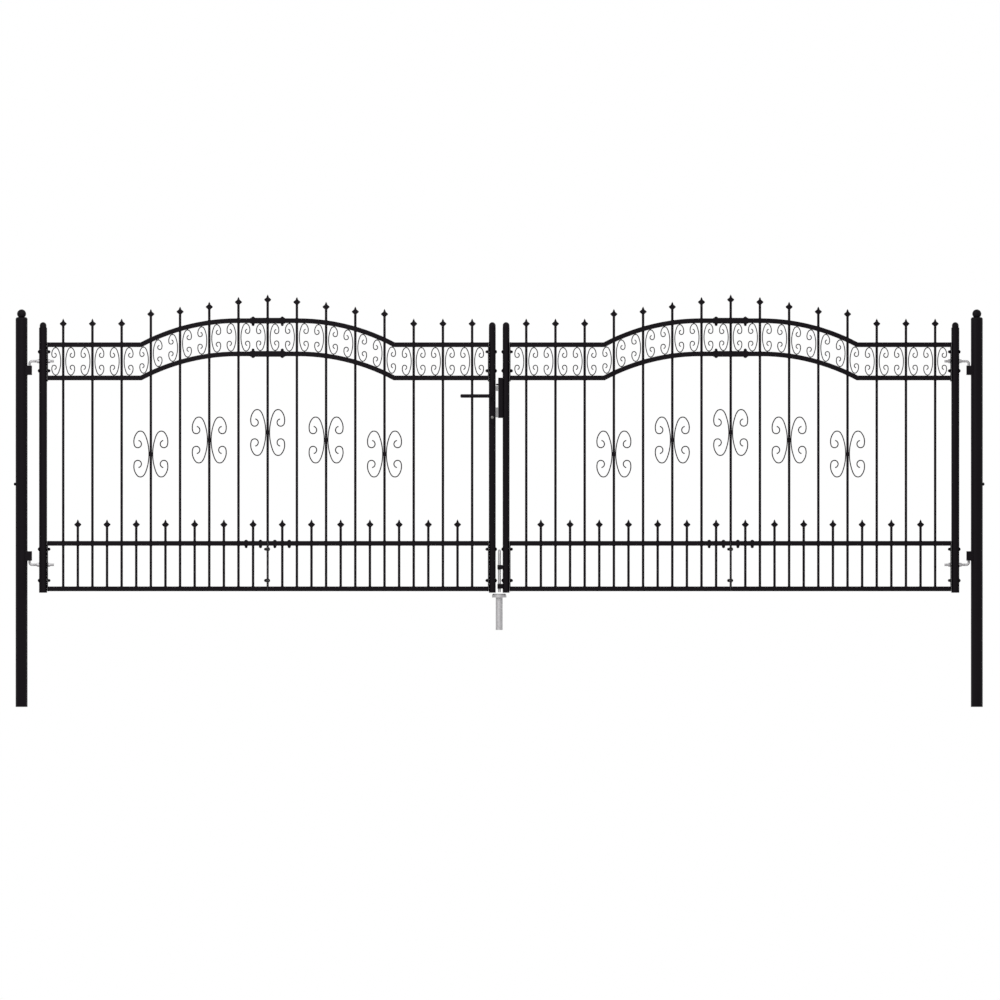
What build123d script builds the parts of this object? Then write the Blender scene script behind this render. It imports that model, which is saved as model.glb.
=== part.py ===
from build123d import *
import math
import os

# Double driveway gate of steel tube and bar, in millimetres.
# The left post's foot is centred on the origin, +X runs to the right post, +Z is up,
# the viewer stands at -Y and both leaves swing open towards +Y.

# Fits
weld_gap = 0.2
running_gap = 0.05
slide_gap = 0.4

# Posts and their ball caps
post_spacing = 4012.0
post_height = 1626.0
post_od = 50.0
post_wall = 2.5
post_foot = 4.0
post_cap_height = 11.0
post_cap_edge = 8.5
post_cap_shank = 25.0
ball_dia = 38.0
ball_rise = 13.8

# Stiles, the round uprights at the two ends of each leaf
hinge_stile_offset = 90.3
hinge_stile_od = 33.7
meeting_stile_od = 29.0
meeting_gap = 29.0
stile_wall = 2.0
stile_bottom = 481.0
stile_top = 1591.0
stile_cap_dia = 28.2
stile_cap_height = 25.0
stile_cap_lip = 2.0
stile_cap_shank = 18.0

# Rails and bars of the infill
rail = 20.0
bottom_rail_level = 496.0
mid_rail_level = 687.0
second_rail_level = 1381.8
top_rail_level = 1521.2
bar = 10.5
bars_a_side = 7
end_bay = 84.66
arch_rise = 101.0
arch_radius = 865.0
arch_flat = 126.0
end_plate = 4.0
end_plate_depth = 30.0
upper_plate_drop = 5.0
lower_plate_lap = 9.0
centre_plate = 4.6

# Spears on the bars, and how much of the arch's rise each tip follows, from the centre outwards
spear_overhang = 110.3
short_spear_level = 788.0
spear_point = 22.0
spear_barb = 14.5
spear_barb_edge = 3.6
spear_barb_drop = 10.5
spear_root = 5.2
spear_shoulder = 9.5
spear_neck = 4.2
spear_neck_rise = 14.0
spear_tip = 2.0
tip_rise_shares = (1.0, 0.9, 0.7, 0.5, 0.4, 0, 0, 0)

# Splice sleeves that join the arched rails of the two half panels at the middle of a leaf
sleeve_wall = 2.0
sleeve_length = 147.0

# Scrolls of flat bar: radius as a share of the scroll's width, and turn in degrees, from back to curl
scroll_radius_shares = (3.3, 1.05, 0.285, 0.915, 0.24)
scroll_turns = (20, 16, 104, 54, 246)
scroll_lobe_arc = 2
scroll_depth = 10.0
frieze_width = 37.5
frieze_back = 0.6
frieze_stock = 4.0
frieze_stand_off = 10.5
frieze_seat = 0.3
frieze_touch_angles = range(-60, 61, 5)
bar_scroll_width = 63.6
bar_scroll_back = 0.6
bar_scroll_stock = 4.6
bar_scroll_level = 1152.6
bar_scroll_drops = (0, 31.5, 90.4)

# Hinges: a bored block on the post and a bent rod through the stile
hinge_axis_offset = 34.2
hinge_block_reach = 43.8
hinge_block_depth = 40.0
hinge_block_height = 39.6
hinge_block_lap = 14.0
upper_block_level = 1413.8
lower_block_level = 634.2
hinge_rod_dia = 10.0
hinge_rod_bend = 10.0
hinge_rod_end = 136.0
upper_rod_level = 1452.0
lower_rod_level = 597.0

# Lock, latch and lever in the left meeting stile
lever_level = 1306.0
lever_reach = 134.0
lever_dia = 15.0
lever_bend = 18.0
lever_stand_off = 48.0
lever_collar_dia = 24.0
lever_collar_face = 19.0
lever_tip_edge = 5.0
spindle = 8.0
spindle_hole_dia = 12.6
case_width = 19.6
case_depth = 14.4
case_bottom = 1180.0
case_top = 1368.0
cylinder_level = 1216.0
cylinder_dia = 17.0
cylinder_web = 10.0
cylinder_height = 33.0
cylinder_length = 40.0
plug_dia = 12.0
plug_length = 41.0
bolt_thickness = 9.0
bolt_tip_gap = 0.5
latch_level = 1337.4
latch_height = 21.0
latch_length = 24.0
latch_nose = 5.0
latch_travel = 8.0
dead_bolt_bottom = 1216.0
dead_bolt_top = 1258.0
dead_bolt_tail = 1230.0
dead_bolt_tail_length = 32.0
dead_bolt_head_length = 13.5

# Keep, a channel on the right meeting stile that takes the latch and the dead bolt
keep_depth = 18.6
keep_width = 26.0
keep_wall = 2.5
keep_bottom = 1213.5
keep_top = 1382.8

# Drop bolt on the right meeting stile, and its socket in the ground
rod_dia = 12.0
rod_shift = 1.0
rod_top = 656.0
rod_tip = 482.0
rod_handle = 45.0
rod_handle_bend = 12.0
guide_wall = 2.5
guide_depth = 22.0
upper_guide_bottom = 577.6
upper_guide_height = 18.5
lower_guide_bottom = 496.9
lower_guide_height = 20.2
socket_shift = 0.0
socket_flange_dia = 60.5
socket_flange_height = 16.0
socket_flange_edge = 5.0
socket_top = 475.5
socket_bottom = 323.0
socket_od = 29.0
socket_wall = 2.5

# Places worked out from the sizes above
gate_centre = post_spacing / 2
meeting_stile_x = gate_centre - meeting_gap / 2 - meeting_stile_od / 2
leaf_centre = (hinge_stile_offset + meeting_stile_x) / 2
leaf_half = leaf_centre - hinge_stile_offset
bar_pitch = (leaf_half - end_bay) / bars_a_side
post_bore = post_od - 2 * post_wall
keep_face_x = gate_centre + meeting_gap / 2 - weld_gap - keep_depth
bolt_tip_x = keep_face_x - bolt_tip_gap
mirror_plane = Plane.YZ.offset(gate_centre)

os.makedirs("parts", exist_ok=True)


def save(piece, name):
    """Label one finished piece and write it as a STEP file."""
    piece.part.label = name
    export_step(piece.part, f"parts/{name}.step")


def save_pair(piece, name):
    """Write a left-hand piece and its mirror image on the right-hand side."""
    with BuildPart() as twin:
        mirror(piece.part, about=mirror_plane)
    save(piece, f"left_{name}")
    save(twin, f"right_{name}")


def arch_run(shift):
    """Length of the arch's round from its flat crown to its foot, on an edge shifted off the middle line."""
    return math.sqrt((arch_radius + shift) ** 2 - (arch_radius - arch_rise + shift) ** 2)


def arch_lift(reach, shift):
    """Height of a shifted edge over the rail's flat middle line, at a distance from the leaf's centre."""
    run = max(abs(reach) - arch_flat, 0)
    if run >= arch_run(shift):
        return shift
    return arch_rise - arch_radius + math.sqrt((arch_radius + shift) ** 2 - run**2)


def arch_edge(level, shift, side):
    """Foot, middle and crown of one long edge of an arched rail, shifted off its middle line."""
    run = arch_run(shift)
    reaches = (arch_flat + run, arch_flat + run / 2, arch_flat)
    return [(leaf_centre + side * reach, level + arch_lift(reach, shift)) for reach in reaches]


def arched_rail(level, start, end, side):
    """Outline of half an arched rail, from beside the leaf's centre to the end plate."""
    start_x = leaf_centre + side * start
    end_x = leaf_centre + side * end
    upper = arch_edge(level, rail / 2, side)
    lower = arch_edge(level, -rail / 2, side)
    with BuildLine() as outline:
        Polyline((end_x, level - rail / 2), (end_x, level + rail / 2), upper[0])
        ThreePointArc(*upper)
        crown = level + arch_rise
        Polyline(upper[2], (start_x, crown + rail / 2), (start_x, crown - rail / 2), lower[2])
        ThreePointArc(*reversed(lower))
        Line(lower[0], (end_x, level - rail / 2))
    make_face(outline.edges())


# Spear with its tip at the origin: a point over two barbs that taper down into the bar
spear_half = (
    (bar / 2, -spear_point - spear_barb_drop),
    (spear_barb, -spear_point - spear_barb_edge / 2),
    (spear_barb, -spear_point + spear_barb_edge / 2),
    (spear_root, -spear_point + spear_shoulder),
    (spear_neck, -spear_point + spear_neck_rise),
)
with BuildPart() as spear:
    with BuildSketch(Plane.XZ):
        with BuildLine():
            Polyline(*spear_half, (0, 0), *[(-reach, z) for reach, z in reversed(spear_half)], close=True)
        make_face()
    extrude(amount=bar / 2, both=True)
    with BuildSketch(Plane.YZ):
        with BuildLine():
            Polyline((spear_tip / 2, 0), (bar / 2, 0), (bar / 2, spear_shoulder - spear_point), close=True)
        make_face()
        mirror(about=Plane.YZ)
    extrude(amount=spear_barb, both=True, mode=Mode.SUBTRACT)


def speared_bars(places):
    """Upright bars with their spears, each given by its x, its foot and its tip."""
    with BuildSketch(Plane.XZ) as fronts:
        for x, bottom, tip in places:
            top = tip - spear_point - spear_barb_drop + weld_gap
            with Locations((x, (bottom + top) / 2)):
                Rectangle(bar, top - bottom)
    extrude(fronts.sketch, amount=bar / 2, both=True)
    with Locations([(x, 0, tip) for x, _, tip in places]):
        add(spear.part)


def long_tip(index):
    """Height of a long bar's spear tip, counted from the leaf's centre."""
    return top_rail_level + spear_overhang + tip_rise_shares[index] * arch_rise


def half_panel(stile_od, side):
    """One welded half of a leaf's infill: rails, bars with spears, and end plates."""
    plate_face = leaf_half - stile_od / 2 - weld_gap
    end = plate_face - end_plate
    plate_x = leaf_centre + side * (plate_face - end_plate / 2)
    upper_rails = (top_rail_level, second_rail_level)
    lower_rails = (mid_rail_level, bottom_rail_level)
    with BuildPart() as panel:
        with BuildSketch(Plane.XZ):
            for level in upper_rails:
                arched_rail(level, bar / 2 + weld_gap, end, side)
            for level in lower_rails:
                with Locations((leaf_centre + side * (end + running_gap) / 2, level)):
                    Rectangle(end - running_gap, rail)
            centre_x = leaf_centre + side * (running_gap + centre_plate / 2)
            with Locations((centre_x, (mid_rail_level + bottom_rail_level) / 2)):
                Rectangle(centre_plate, mid_rail_level - bottom_rail_level)
        extrude(amount=rail / 2, both=True)
        with BuildSketch(Plane.XZ):
            plate_top = top_rail_level + rail / 2
            plate_bottom = second_rail_level - rail / 2 - upper_plate_drop
            with Locations((plate_x, (plate_top + plate_bottom) / 2)):
                Rectangle(end_plate, plate_top - plate_bottom)
            plate_top = mid_rail_level + lower_plate_lap
            plate_bottom = bottom_rail_level - lower_plate_lap
            with Locations((plate_x, (plate_top + plate_bottom) / 2)):
                Rectangle(end_plate, plate_top - plate_bottom)
        extrude(amount=end_plate_depth / 2, both=True)
        if side < 0:
            with BuildSketch(Plane.YZ.offset(plate_x)):
                with Locations((0, upper_rod_level), (0, lower_rod_level)):
                    Circle(hinge_rod_dia / 2 + weld_gap)
            extrude(amount=end_plate, both=True, mode=Mode.SUBTRACT)
        places = []
        for index in range(1, bars_a_side + 1):
            long_x = leaf_centre + side * index * bar_pitch
            places.append((long_x, bottom_rail_level, long_tip(index)))
            places.append((long_x - side * bar_pitch / 2, bottom_rail_level, short_spear_level))
        speared_bars(places)
    return panel


def scroll_half(width, back):
    """Middle line of a scroll's upper half: straight back, swelling lobe and inward curl."""
    heading = 0
    Line((0, 0), (0, back))
    x, z = 0, back
    for share, turn in zip(scroll_radius_shares, scroll_turns):
        radius = share * width
        ends = [math.radians(heading + turn * part / 2) for part in range(3)]
        points = [
            (
                x + radius * (math.cos(ends[0]) - math.cos(angle)),
                z + radius * (math.sin(angle) - math.sin(ends[0])),
            )
            for angle in ends
        ]
        ThreePointArc(*points)
        x, z = points[2]
        heading += turn


def scroll_lobe(width):
    """Centre of a scroll's round lobe, from the end of its straight back, and the radius of its middle line."""
    x, z, heading, radius = 0, 0, 0, 0
    for arc in range(scroll_lobe_arc + 1):
        growth = scroll_radius_shares[arc] * width - radius
        x += growth * math.cos(math.radians(heading))
        z -= growth * math.sin(math.radians(heading))
        heading += scroll_turns[arc]
        radius += growth
    return x, z, radius


def scroll(width, back, stock, x, z, side):
    """One C-scroll of flat bar, its back at x and its curls on the given side."""
    plane = Plane(origin=(x, 0, z), x_dir=(side, 0, 0), z_dir=(0, -side, 0))
    with BuildSketch(plane) as profile:
        with BuildLine() as upper:
            scroll_half(width, back)
        trace(upper.line, line_width=stock)
        mirror(about=Plane.XZ)
    extrude(profile.sketch, amount=scroll_depth / 2, both=True)


def frieze_seating(width, bar_reach, side):
    """Level of a frieze scroll and half length of its back, with both lobes a hair off the arched rails."""
    lobe_x, lobe_z, radius = scroll_lobe(width)
    radius += frieze_stock / 2 + frieze_seat
    highest, lowest = top_rail_level + arch_rise, second_rail_level
    for angle in frieze_touch_angles:
        across, up = radius * math.sin(math.radians(angle)), radius * math.cos(math.radians(angle))
        reach = bar_reach + side * (frieze_stand_off + lobe_x) + across
        half = rail / 2 + (sleeve_wall + weld_gap if abs(reach) < sleeve_length / 2 else 0)
        highest = min(highest, top_rail_level + arch_lift(reach, -half) - up)
        lowest = max(lowest, second_rail_level + arch_lift(reach, half) + up)
    return (highest + lowest) / 2, (highest - lowest) / 2 - lobe_z


def frieze_scroll(index, side):
    """One scroll beside a long bar of the frieze, a little smaller where the rails leave less room."""
    bar_reach = index * bar_pitch
    level, back = frieze_seating(frieze_width, bar_reach, side)
    width = frieze_width
    if back < frieze_back:
        width *= 1 - (frieze_back - back) / (top_rail_level - second_rail_level - rail) * 2
        level, back = frieze_seating(width, bar_reach, side)
    scroll(width, back, frieze_stock, leaf_centre + bar_reach + side * frieze_stand_off, level, side)


# Posts: closed at the foot, open inside, under a cap with a ball
for name, x in (("left_post", 0), ("right_post", post_spacing)):
    with BuildPart() as post:
        with BuildSketch():
            with Locations((x, 0)):
                Circle(post_od / 2)
        extrude(amount=post_height)
        with BuildSketch(Plane.XY.offset(post_foot)):
            with Locations((x, 0)):
                Circle(post_bore / 2)
        extrude(amount=post_height, mode=Mode.SUBTRACT)
    save(post, name)

with BuildPart() as ball_cap:
    with BuildSketch(Plane.XY.offset(post_height - post_cap_shank)):
        Circle(post_bore / 2 - weld_gap)
    extrude(amount=post_cap_shank)
    with BuildSketch(Plane.XY.offset(post_height)):
        Circle(post_od / 2)
    extrude(amount=post_cap_height)
    fillet(ball_cap.faces().sort_by(Axis.Z)[-1].edges(), radius=post_cap_edge)
    with Locations((0, 0, post_height + post_cap_height + ball_rise)):
        Sphere(ball_dia / 2)

with BuildPart() as post_caps:
    with Locations((0, 0, 0), (post_spacing, 0, 0)):
        add(ball_cap.part)
save(post_caps, "post_caps")

# Hinge blocks, saddled to the post and bored for the hinge rods
block_middle = (hinge_block_lap + hinge_block_reach) / 2
with BuildPart() as hinge_blocks:
    for level in (lower_block_level, upper_block_level):
        with Locations((block_middle, 0, level)):
            Box(hinge_block_reach - hinge_block_lap, hinge_block_depth, hinge_block_height)
    with BuildSketch():
        Circle(post_od / 2 + weld_gap)
        with Locations((hinge_axis_offset, 0)):
            Circle(hinge_rod_dia / 2 + running_gap)
    extrude(amount=post_height, mode=Mode.SUBTRACT)
save_pair(hinge_blocks, "hinge_blocks")

# Hinge rods: the upper one drops into its block and the lower one rises into its own
leg_ends = (upper_block_level - hinge_block_height / 2, lower_block_level + hinge_block_height / 2)
with BuildPart() as hinge_bolts:
    for level, leg_end in zip((upper_rod_level, lower_rod_level), leg_ends):
        with BuildLine() as route:
            FilletPolyline(
                (hinge_axis_offset, 0, leg_end),
                (hinge_axis_offset, 0, level),
                (hinge_rod_end, 0, level),
                radius=hinge_rod_bend,
            )
        with BuildSketch(Plane(origin=route.line @ 0, z_dir=route.line % 0)):
            Circle(hinge_rod_dia / 2)
        sweep()
save_pair(hinge_bolts, "hinge_bolts")

# Stiles
stile_height = stile_top - stile_bottom
with BuildPart() as hinge_stile:
    with BuildSketch(Plane.XY.offset(stile_bottom)):
        with Locations((hinge_stile_offset, 0)):
            Circle(hinge_stile_od / 2)
            Circle(hinge_stile_od / 2 - stile_wall, mode=Mode.SUBTRACT)
    extrude(amount=stile_height)
    with BuildSketch(Plane.YZ.offset(hinge_stile_offset)):
        for level in (upper_rod_level, lower_rod_level):
            with Locations((0, level)):
                Circle(hinge_rod_dia / 2 + weld_gap)
    extrude(amount=hinge_stile_od, both=True, mode=Mode.SUBTRACT)
save_pair(hinge_stile, "hinge_stile")

with BuildPart() as plain_stile:
    with BuildSketch(Plane.XY.offset(stile_bottom)):
        with Locations((meeting_stile_x, 0)):
            Circle(meeting_stile_od / 2)
            Circle(meeting_stile_od / 2 - stile_wall, mode=Mode.SUBTRACT)
    extrude(amount=stile_height)

with BuildPart() as right_meeting_stile:
    mirror(plain_stile.part, about=mirror_plane)
save(right_meeting_stile, "right_meeting_stile")


def cylinder_profile(gap):
    """Outline of the lock cylinder: a round barrel over a narrow web."""
    with Locations((meeting_stile_x, cylinder_level)):
        Circle(cylinder_dia / 2 + gap)
    web_length = cylinder_height - cylinder_dia / 2
    with Locations((meeting_stile_x, cylinder_level - web_length / 2)):
        Rectangle(cylinder_web + 2 * gap, web_length + 2 * gap)


dead_bolt_middle = (dead_bolt_bottom + dead_bolt_top) / 2
dead_bolt_height = dead_bolt_top - dead_bolt_bottom
with BuildPart() as left_meeting_stile:
    add(plain_stile.part)
    with BuildSketch(Plane.XZ):
        cylinder_profile(slide_gap)
        with Locations((meeting_stile_x, lever_level)):
            Circle(spindle_hole_dia / 2)
    extrude(amount=meeting_stile_od, both=True, mode=Mode.SUBTRACT)
    with BuildSketch(Plane.YZ.offset(meeting_stile_x)):
        with Locations((0, latch_level)):
            Rectangle(bolt_thickness + 2 * slide_gap, latch_height + 2 * slide_gap)
        with Locations((0, dead_bolt_middle)):
            Rectangle(bolt_thickness + 2 * slide_gap, dead_bolt_height + 2 * slide_gap)
    extrude(amount=meeting_stile_od, mode=Mode.SUBTRACT)
save(left_meeting_stile, "left_meeting_stile")


def stile_cap(stile_od):
    """Domed plug for the top of a stile, on the Z axis."""
    with BuildPart() as cap:
        with BuildSketch(Plane.XY.offset(stile_top - stile_cap_shank)):
            Circle(stile_od / 2 - stile_wall - weld_gap)
        extrude(amount=stile_cap_shank)
        with BuildSketch(Plane.XY.offset(stile_top)):
            Circle(stile_od / 2)
        extrude(amount=stile_cap_lip)
        dome_centre = stile_top + stile_cap_height - stile_cap_dia / 2
        with BuildSketch(Plane.XY.offset(stile_top)):
            Circle(stile_cap_dia / 2)
        extrude(amount=dome_centre - stile_top)
        with Locations((0, 0, dome_centre)):
            Sphere(stile_cap_dia / 2)
    return cap


hinge_stile_cap = stile_cap(hinge_stile_od)
meeting_stile_cap = stile_cap(meeting_stile_od)
with BuildPart() as stile_caps:
    with Locations((hinge_stile_offset, 0, 0)):
        add(hinge_stile_cap.part)
    with Locations((meeting_stile_x, 0, 0)):
        add(meeting_stile_cap.part)
save_pair(stile_caps, "stile_caps")

# Infill: two half panels, the centre bar between them and the sleeves over the joint
outer_panel = half_panel(hinge_stile_od, -1)
save_pair(outer_panel, "outer_panel")
inner_panel = half_panel(meeting_stile_od, 1)
save_pair(inner_panel, "inner_panel")

sleeve = rail + 2 * sleeve_wall
with BuildPart() as centre_bar:
    speared_bars([(leaf_centre, mid_rail_level + rail / 2 + weld_gap, long_tip(0))])
save_pair(centre_bar, "centre_bar")

with BuildPart() as splice_sleeves:
    with BuildSketch(Plane.YZ.offset(leaf_centre)):
        with Locations((0, top_rail_level + arch_rise), (0, second_rail_level + arch_rise)):
            Rectangle(sleeve + 2 * weld_gap, sleeve + 2 * weld_gap)
            Rectangle(rail + 2 * weld_gap, rail + 2 * weld_gap, mode=Mode.SUBTRACT)
    extrude(amount=sleeve_length / 2, both=True)
    with BuildSketch(Plane.XY.offset(second_rail_level)):
        with Locations((leaf_centre, 0)):
            Rectangle(bar + 2 * weld_gap, bar + 2 * weld_gap)
    extrude(amount=top_rail_level, mode=Mode.SUBTRACT)
save_pair(splice_sleeves, "splice_sleeves")

# Scrolls: a frieze of them between the arched rails, and pairs on every second bar below
with BuildPart() as frieze_scrolls:
    for index in range(-bars_a_side, bars_a_side + 1):
        for side in (-1, 1):
            frieze_scroll(index, side)
save_pair(frieze_scrolls, "frieze_scrolls")

bar_scroll_stand_off = bar / 2 + weld_gap + bar_scroll_stock / 2
last_step = len(bar_scroll_drops) - 1
with BuildPart() as bar_scrolls:
    for step in range(-last_step, last_step + 1):
        level = bar_scroll_level - bar_scroll_drops[abs(step)]
        for side in (-1, 1):
            back_x = leaf_centre + 2 * step * bar_pitch + side * bar_scroll_stand_off
            scroll(bar_scroll_width, bar_scroll_back, bar_scroll_stock, back_x, level, side)
save_pair(bar_scrolls, "bar_scrolls")

# Lock case, a slim box inside the left meeting stile, with ways for the cylinder, spindle and bolts
with BuildPart() as lock_case:
    with Locations((meeting_stile_x, 0, (case_bottom + case_top) / 2)):
        Box(case_width, case_depth, case_top - case_bottom)
    with BuildSketch(Plane.XZ):
        cylinder_profile(slide_gap)
        with Locations((meeting_stile_x, lever_level)):
            Circle(spindle_hole_dia / 2)
    extrude(amount=case_depth, both=True, mode=Mode.SUBTRACT)
    latch_back = bolt_tip_x - latch_length - latch_travel - slide_gap
    with BuildSketch(Plane.YZ.offset(latch_back)):
        with Locations((0, latch_level)):
            Rectangle(bolt_thickness + 2 * slide_gap, latch_height + 2 * slide_gap)
    extrude(amount=case_width, mode=Mode.SUBTRACT)
    tail_middle = (dead_bolt_tail + dead_bolt_top) / 2
    tail_height = dead_bolt_top - dead_bolt_tail
    with BuildSketch(Plane.YZ.offset(bolt_tip_x - dead_bolt_tail_length - slide_gap)):
        with Locations((0, tail_middle)):
            Rectangle(bolt_thickness + 2 * slide_gap, tail_height + 2 * slide_gap)
    extrude(amount=dead_bolt_tail_length, mode=Mode.SUBTRACT)
save(lock_case, "lock_case")

with BuildPart() as lock_cylinder:
    with BuildSketch(Plane.XZ):
        cylinder_profile(0)
        with Locations((meeting_stile_x, cylinder_level)):
            Circle(plug_dia / 2 + running_gap, mode=Mode.SUBTRACT)
    extrude(amount=cylinder_length / 2, both=True)
save(lock_cylinder, "lock_cylinder")

with BuildPart() as lock_plug:
    with BuildSketch(Plane.XZ):
        with Locations((meeting_stile_x, cylinder_level)):
            Circle(plug_dia / 2)
    extrude(amount=plug_length / 2, both=True)
save(lock_plug, "lock_plug")

with BuildPart() as latch_bolt:
    with BuildSketch(Plane.XY.offset(latch_level)):
        with BuildLine():
            Polyline(
                (bolt_tip_x - latch_length, -bolt_thickness / 2),
                (bolt_tip_x, -bolt_thickness / 2),
                (bolt_tip_x, bolt_thickness / 2 - latch_nose),
                (bolt_tip_x - latch_nose, bolt_thickness / 2),
                (bolt_tip_x - latch_length, bolt_thickness / 2),
                close=True,
            )
        make_face()
    extrude(amount=latch_height / 2, both=True)
save(latch_bolt, "latch_bolt")

with BuildPart() as dead_bolt:
    with BuildSketch(Plane.XZ):
        with BuildLine():
            Polyline(
                (bolt_tip_x, dead_bolt_bottom),
                (bolt_tip_x, dead_bolt_top),
                (bolt_tip_x - dead_bolt_tail_length, dead_bolt_top),
                (bolt_tip_x - dead_bolt_tail_length, dead_bolt_tail),
                (bolt_tip_x - dead_bolt_head_length, dead_bolt_tail),
                (bolt_tip_x - dead_bolt_head_length, dead_bolt_bottom),
                close=True,
            )
        make_face()
    extrude(amount=bolt_thickness / 2, both=True)
save(dead_bolt, "dead_bolt")

# Lever handles, one on each face, on a square spindle that turns in two collars on the stile
neck_start = meeting_stile_od / 2 + slide_gap
with BuildPart() as lever_collars:
    with BuildSketch(Plane.XZ):
        with Locations((meeting_stile_x, lever_level)):
            Circle(lever_collar_dia / 2)
            Circle(lever_dia / 2 + slide_gap, mode=Mode.SUBTRACT)
    extrude(amount=lever_collar_face, both=True)
    with BuildSketch(Plane.XY.offset(stile_bottom)):
        with Locations((meeting_stile_x, 0)):
            Circle(meeting_stile_od / 2 + weld_gap)
    extrude(amount=stile_height, mode=Mode.SUBTRACT)
save(lever_collars, "lever_collars")

for name, face in (("front_lever", -1), ("rear_lever", 1)):
    with BuildPart() as lever:
        with BuildLine() as route:
            FilletPolyline(
                (meeting_stile_x, face * neck_start, lever_level),
                (meeting_stile_x, face * lever_stand_off, lever_level),
                (meeting_stile_x - lever_reach, face * lever_stand_off, lever_level),
                radius=lever_bend,
            )
        with BuildSketch(Plane(origin=route.line @ 0, z_dir=route.line % 0)):
            Circle(lever_dia / 2)
        sweep()
        fillet(lever.faces().sort_by(Axis.X)[0].edges(), radius=lever_tip_edge)
    save(lever, name)

with BuildPart() as lever_spindle:
    with Locations((meeting_stile_x, 0, lever_level)):
        Box(spindle, 2 * neck_start, spindle)
save(lever_spindle, "lever_spindle")

# Keep on the right meeting stile
with BuildPart() as lock_keep:
    with BuildSketch(Plane.XY.offset(keep_bottom)):
        with Locations((keep_face_x + keep_depth / 2, 0)):
            Rectangle(keep_depth, keep_width)
        with Locations((keep_face_x + (keep_depth - keep_wall) / 2, 0)):
            Rectangle(keep_depth - keep_wall, keep_width - 2 * keep_wall, mode=Mode.SUBTRACT)
    extrude(amount=keep_top - keep_bottom)
save(lock_keep, "lock_keep")

# Drop bolt, its two guides and the socket in the ground
rod_x = gate_centre + rod_shift
guide_start = rod_x - rod_dia / 2 - guide_wall
guide_end = gate_centre + meeting_gap / 2 - weld_gap
with BuildPart() as rod_guides:
    for bottom, height in (
        (upper_guide_bottom, upper_guide_height),
        (lower_guide_bottom, lower_guide_height),
    ):
        with BuildSketch(Plane.XY.offset(bottom)):
            with Locations(((guide_start + guide_end) / 2, 0)):
                Rectangle(guide_end - guide_start, guide_depth)
            with Locations((rod_x, 0)):
                Circle(rod_dia / 2 + running_gap, mode=Mode.SUBTRACT)
        extrude(amount=height)
save(rod_guides, "rod_guides")

with BuildPart() as drop_rod:
    with BuildLine() as route:
        FilletPolyline(
            (rod_x, 0, rod_tip), (rod_x, 0, rod_top), (rod_x, rod_handle, rod_top), radius=rod_handle_bend
        )
    with BuildSketch(Plane(origin=route.line @ 0, z_dir=route.line % 0)):
        Circle(rod_dia / 2)
    sweep()
save(drop_rod, "drop_rod")

with BuildPart() as ground_socket:
    with BuildSketch(Plane.XY.offset(socket_bottom)):
        with Locations((gate_centre + socket_shift, 0)):
            Circle(socket_od / 2)
    extrude(amount=socket_top - socket_bottom)
    with BuildSketch(Plane.XY.offset(socket_top - socket_flange_height)):
        with Locations((gate_centre + socket_shift, 0)):
            Circle(socket_flange_dia / 2)
    extrude(amount=socket_flange_height)
    chamfer(ground_socket.faces().sort_by(Axis.Z)[-1].edges(), length=socket_flange_edge)
    with BuildSketch(Plane.XY.offset(socket_bottom)):
        with Locations((gate_centre + socket_shift, 0)):
            Circle(socket_od / 2 - socket_wall)
    extrude(amount=socket_top - socket_bottom, mode=Mode.SUBTRACT)
save(ground_socket, "ground_socket")
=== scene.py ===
"""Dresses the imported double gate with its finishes, fasteners, welds and lock trim, on a plain stage."""

import math

import bmesh
import bpy
from mathutils import Matrix, Vector


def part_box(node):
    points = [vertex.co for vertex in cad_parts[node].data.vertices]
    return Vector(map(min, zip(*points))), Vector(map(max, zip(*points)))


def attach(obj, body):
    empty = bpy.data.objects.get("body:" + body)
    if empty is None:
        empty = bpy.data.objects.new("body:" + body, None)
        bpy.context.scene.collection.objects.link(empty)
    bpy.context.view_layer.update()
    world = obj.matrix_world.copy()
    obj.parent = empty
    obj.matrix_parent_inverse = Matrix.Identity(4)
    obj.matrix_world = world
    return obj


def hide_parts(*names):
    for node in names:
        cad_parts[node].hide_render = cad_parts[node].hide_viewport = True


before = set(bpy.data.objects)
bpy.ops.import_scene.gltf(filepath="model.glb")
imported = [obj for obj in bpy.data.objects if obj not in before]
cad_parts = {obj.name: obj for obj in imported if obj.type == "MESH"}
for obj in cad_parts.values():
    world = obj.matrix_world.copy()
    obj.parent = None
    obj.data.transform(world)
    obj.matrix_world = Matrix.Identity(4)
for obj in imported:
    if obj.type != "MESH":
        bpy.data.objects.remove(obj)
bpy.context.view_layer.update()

bl_info = {
    "name": "Double Gate Dressing",
    "version": (1, 0, 0),
    "blender": (4, 5, 0),
    "location": "View3D > Sidebar > Gate",
    "description": "Finishes, fasteners, welds, scrolls and stage for a double fence gate",
    "category": "Object",
}

STILES = ("hinge", "meeting")
UP, DOWN = (0, 0, 1), (0, 0, -1)

# The way from each leaf's hinge stile towards the middle of the gate
INWARD = {"left": 1, "right": -1}

SLOT_NODES = {
    "black_plastic": ("post_caps", "left_stile_caps", "right_stile_caps"),
    "zinc": ("left_hinge_bolts", "right_hinge_bolts", "ground_socket", "drop_rod"),
    "lock_steel": ("latch_bolt", "dead_bolt", "lever_spindle", "lock_case"),
    "nickel": ("lock_plug",),
}

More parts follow.
